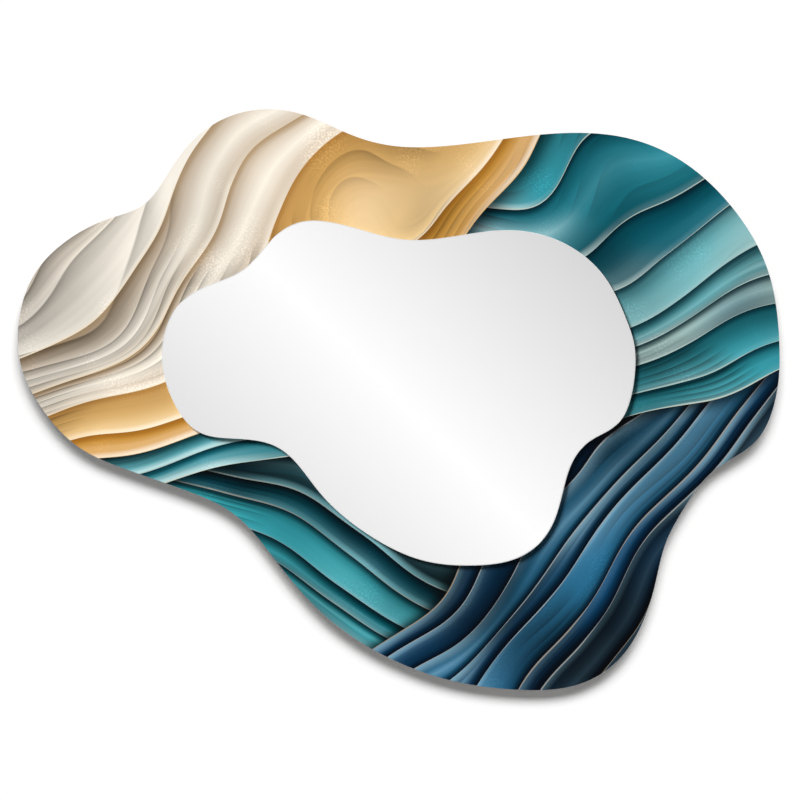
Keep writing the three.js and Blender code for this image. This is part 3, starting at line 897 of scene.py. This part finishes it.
def arcPoints(x, z, radius, start, sweep, count):
    turns = [math.radians(start + sweep * k / count) for k in range(count)]
    return [(x + radius * math.cos(turn), z + radius * math.sin(turn)) for turn in turns]


def strapMesh(plan):
    run = strapRun(plan)
    whole = sum(stretch["length"] for stretch in run)
    tip = plan["tipRadius"]
    side = plan["strapWidth"] / 2 - tip
    outline = []
    far = whole - tip
    for x, z, start in ((side, tip, -90), (side, far, 0), (-side, far, 90), (-side, tip, 180)):
        outline += arcPoints(x, z, tip, start, 90, plan["tipSteps"])
        outline += arcPoints(x, z, tip, start + 90, 0, 1)
    holes = [plan["strapLength"] - drop for drop in plan["screwDrops"]]
    holes += [whole - plan["strapLength"] + drop for drop in plan["screwDrops"]]
    mesh = bmesh.new()
    edges = []
    for loop in [outline] + [arcPoints(0, z, plan["holeRadius"], 0, 360, plan["holeSides"]) for z in holes]:
        verts = [mesh.verts.new((x, -plan["strapThickness"] / 2, z)) for x, z in loop]
        edges += [mesh.edges.new((a, b)) for a, b in zip(verts, verts[1:] + verts[:1])]
    bmesh.ops.triangle_fill(mesh, edges=edges, use_beauty=True)
    grown = bmesh.ops.extrude_face_region(mesh, geom=mesh.faces[:], use_keep_orig=True)
    for item in grown["geom"]:
        if isinstance(item, bmesh.types.BMVert):
            item.co.y += plan["strapThickness"]
    bmesh.ops.recalc_face_normals(mesh, faces=mesh.faces)
    rims = [edge for edge in mesh.edges if edge.calc_face_angle(0) > 1.0]
    bmesh.ops.bevel(mesh, geom=rims, offset=plan["edge"], segments=2, profile=0.5, affect="EDGES")
    # Cross cuts wherever the strip bends
    station = 0.0
    for stretch in run:
        steps = 1 if "way" in stretch else math.ceil(stretch["length"] / plan["bendStep"])
        for step in range(steps):
            cut = station + stretch["length"] * step / steps
            strip = mesh.verts[:] + mesh.edges[:] + mesh.faces[:]
            if cut > 0:
                bmesh.ops.bisect_plane(
                    mesh, geom=strip, dist=1e-5, plane_co=(0, 0, cut), plane_no=(0, 0, 1)
                )
        station += stretch["length"]
    for vert in mesh.verts:
        vert.co.y, vert.co.z = onRun(run, vert.co.z, -vert.co.y)
    shadeByAngle(mesh, 40)
    return mesh


def ringMesh(plan):
    # One wire from its butt in the curl, out along the bar, up round the crown and back
    half, bend, shoulder = plan["ringHalf"], plan["ringBend"], plan["ringShoulder"]
    butt, chamfer, steps = plan["ringButt"], plan["ringChamfer"], plan["crownSteps"]
    line = [(butt, 0, -90, chamfer), (butt + chamfer, 0, -90, 0)]
    for x, z in arcPoints(half - bend, bend, bend, -90, 90, plan["bendSteps"]):
        line.append((x, z, math.degrees(math.atan2(z - bend, x - half + bend)), 0))
    for k in range(steps + 1):
        turn = math.pi / 2 * k / steps
        line.append((half * math.cos(turn), shoulder + half * math.sin(turn), math.degrees(turn), 0))
        if k == 0:
            line.insert(-1, (half, bend, 0, 0))
    line += [(-x, z, 180 - angle, cut) for x, z, angle, cut in line[-2::-1]]
    mesh = bmesh.new()
    loops = []
    for x, z, angle, cut in line:
        outX, outZ = math.cos(math.radians(angle)), math.sin(math.radians(angle))
        loop = []
        for k in range(plan["ringSides"]):
            turn = 2 * math.pi * k / plan["ringSides"]
            out = (plan["ringWire"] - cut) * math.cos(turn)
            rise = (plan["ringWire"] - cut) * math.sin(turn)
            loop.append(mesh.verts.new((x + outX * out, rise, z + outZ * out)))
        loops.append(loop)
    bridge(mesh, loops)
    mesh.faces.new(loops[0])
    mesh.faces.new(loops[-1])
    shadeByAngle(mesh, 40)
    return mesh


def lathe(mesh, profile, sides, reachAt=None):
    # Turns (radius, y) pairs about the y axis; reachAt may change a radius by its turn and y
    loops = []
    for radius, y in profile:
        if radius < 1e-9:
            loops.append([mesh.verts.new((0, y, 0))] * sides)
            continue
        loop = []
        for k in range(sides):
            turn = 2 * math.pi * k / sides
            reach = reachAt(turn, y, radius) if reachAt else radius
            loop.append(mesh.verts.new((reach * math.cos(turn), y, reach * math.sin(turn))))
        loops.append(loop)
    bridge(mesh, loops)


def recessTool(plan):
    # The cross that is pressed into the head, a little over its top
    tool = bmesh.new()
    loops = []
    tall = plan["headHeight"]
    foot = (plan["recessFoot"], tall - plan["recessDepth"])
    top = (plan["recessTop"], tall + plan["recessOver"])
    for (reach, half), y in (foot, top):
        loop = []
        for quarter in range(4):
            cos, sin = round(math.cos(math.pi / 2 * quarter)), round(math.sin(math.pi / 2 * quarter))
            for x, z in ((reach, -half), (reach, half), (half, half)):
                loop.append(tool.verts.new((x * cos - z * sin, y, x * sin + z * cos)))
        loops.append(loop)
    bridge(tool, loops)
    tool.faces.new(loops[0])
    tool.faces.new(loops[1])
    bmesh.ops.recalc_face_normals(tool, faces=tool.faces)
    return tool


def cutAway(blank, tool):
    # Takes the tool's shape out of the blank with Blender's boolean
    helpers = []
    for source in (blank, tool):
        data = bpy.data.meshes.new("cutting")
        source.to_mesh(data)
        helpers.append(addObject("cutting", data))
    cut = helpers[0].modifiers.new("recess", "BOOLEAN")
    cut.operation = "DIFFERENCE"
    cut.solver = "EXACT"
    cut.object = helpers[1]
    bpy.context.view_layer.update()
    evaluated = helpers[0].evaluated_get(bpy.context.evaluated_depsgraph_get())
    result = bpy.data.meshes.new_from_object(evaluated)
    blank.clear()
    blank.from_mesh(result)
    tool.free()
    bpy.data.meshes.remove(result)
    for helper in helpers:
        data = helper.data
        bpy.data.objects.remove(helper)
        bpy.data.meshes.remove(data)


def screwMesh(plan):
    # Pan head towards +y with a cross recess, its seat at y = 0, and a thread on the shank
    head, tall = plan["headRadius"], plan["headHeight"]
    core, crest, pitch = plan["coreRadius"], plan["shankRadius"], plan["threadPitch"]
    length, point = plan["screwLength"], plan["pointLength"]
    (footIn, footUp), domeFoot, steps = plan["headFoot"], plan["domeFoot"], plan["domeSteps"]
    wider, taller = plan["domePowers"]

    def threaded(turn, y, radius):
        phase = (y / pitch - turn / (2 * math.pi)) % 1.0
        ridge = max(0.0, 1 - abs(phase - 0.5) / plan["threadHalf"])
        ends = min(1.0, (y + length) / point, max(0.0, -y / plan["threadFade"]))
        return radius + (crest - core) * ridge * ends

    crown = [(0.0, 0.0), (head - footIn, 0.0), (head, footUp)]
    for k in range(1, steps):
        turn = math.pi / 2 * k / steps
        y = domeFoot + (tall - domeFoot) * math.sin(turn) ** taller
        crown.append((head * math.cos(turn) ** wider, y))
    crown.append((0.0, tall))
    mesh = bmesh.new()
    lathe(mesh, crown, plan["headSides"])
    bmesh.ops.recalc_face_normals(mesh, faces=mesh.faces)
    cutAway(mesh, recessTool(plan))
    rows, inHead = plan["threadRows"], plan["shankInHead"]
    shank = [(0.0, -length)]
    for k in range(1, rows + 1):
        y = -length * (1 - k / rows)
        shank.append((core * min(1.0, plan["pointTip"] + (y + length) / point), y))
    shank += [(core, inHead), (0.0, inHead)]
    lathe(mesh, shank, plan["shankSides"], threaded)
    shadeByAngle(mesh, 38)
    return mesh


def makeHangers(plan):
    plated = makeMaterial(brightZincPlate, plan)
    seatY = plan["slit"] + 1.5 * plan["strapThickness"] - plan["curlRadius"]
    for side in ("left", "right"):
        low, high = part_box("hanger_ring_" + side)
        bar = Vector(((low.x + high.x) / 2, (low.y + high.y) / 2, low.z + plan["ringWire"] * mm))
        strap = placed(strapMesh(plan), bar)
        addPiece("hangerStrap." + side, strap, [plated], "hanger_strap_" + side)
        ring = placed(ringMesh(plan), bar)
        node = "hanger_ring_" + side
        addPiece("hangerRing." + side, ring, [plated], node, "ring_" + side)
        for number, (drop, turn) in enumerate(zip(plan["screwDrops"], plan["screwTurns"][side]), 1):
            screw = placed(screwMesh(plan), bar + Vector((0, seatY, -drop)) * mm, turn)
            node = f"hanger_screw_{side}_{number}"
            addPiece(f"hangerScrew.{side}.{number}", screw, [plated], node)


makeHangers(hangerPlan)
print("strap hangers made")

# wall bumpers, all sizes in mm
bumperPlan = {
    "rubber": "#1d1d1e",
    "bloom": "#3a3a39",
    "bloomSpots": 3.0,
    "grain": 0.25,
    "baseRadius": 8.0,
    "tipRadius": 6.5,
    "height": 8.0,
    "foot": (0.3, 0.35),  # bevel of the base, in and up
    "edge": 1.0,
    "edgeSteps": 6,
    "gate": (1.6, 0.5),  # radius and depth of the moulding mark in the tip
    "gateEdge": (0.2, 0.1),  # its rounded rim, in and down
    "sides": 56,
}


def mouldedBlackRubber(tree, plan):
    # Moulded black rubber: matt, fine grained from the mould, with a little grey bloom
    place = addNode(tree, "TexCoord").outputs["Object"]
    bloom = addNode(tree, "TexNoise", {"Vector": place, "Scale": 1 / (plan["bloomSpots"] * mm), "Detail": 5})
    dusty = addNode(tree, "MapRange", {"Value": bloom, 1: 0.45, 2: 0.75, 4: 0.7})
    tone = addNode(tree, "Mix", {0: dusty, 6: plan["rubber"], 7: plan["bloom"]}, **inColour)
    grain = addNode(tree, "TexNoise", {"Vector": place, "Scale": 1 / (plan["grain"] * mm), "Detail": 1})
    grained = addNode(tree, "Bump", {"Height": grain, "Strength": 0.3, "Distance": 0.05 * mm})
    return addNode(
        tree, "BsdfPrincipled", {"Base Color": tone, "Roughness": 0.72, "IOR": 1.52, "Normal": grained}
    )


def bumperMesh(plan):
    base, tip, tall, edge = plan["baseRadius"], plan["tipRadius"], plan["height"], plan["edge"]
    (footIn, footUp), (reach, deep), (gateIn, gateDown) = plan["foot"], plan["gate"], plan["gateEdge"]
    profile = [(0.0, 0.0), (base - footIn, 0.0), (base, footUp)]
    for k in range(plan["edgeSteps"] + 1):
        turn = math.pi / 2 * k / plan["edgeSteps"]
        profile.append((tip - edge + edge * math.cos(turn), tall - edge + edge * math.sin(turn)))
    profile += [(reach, tall), (reach - gateIn, tall - gateDown)]
    profile += [(reach / 2, tall - deep * 0.9), (0.0, tall - deep)]
    mesh = bmesh.new()
    lathe(mesh, profile, plan["sides"])
    shadeByAngle(mesh, 40)
    return mesh


rubber = makeMaterial(mouldedBlackRubber, bumperPlan)
for number in range(1, 5):
    low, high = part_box(f"wall_bumper_{number}")
    foot = Vector(((low.x + high.x) / 2, low.y, (low.z + high.z) / 2))
    bumper = placed(bumperMesh(bumperPlan), foot)
    addPiece(f"wallBumper.{number}", bumper, [rubber], f"wall_bumper_{number}")
print("wall bumpers made")
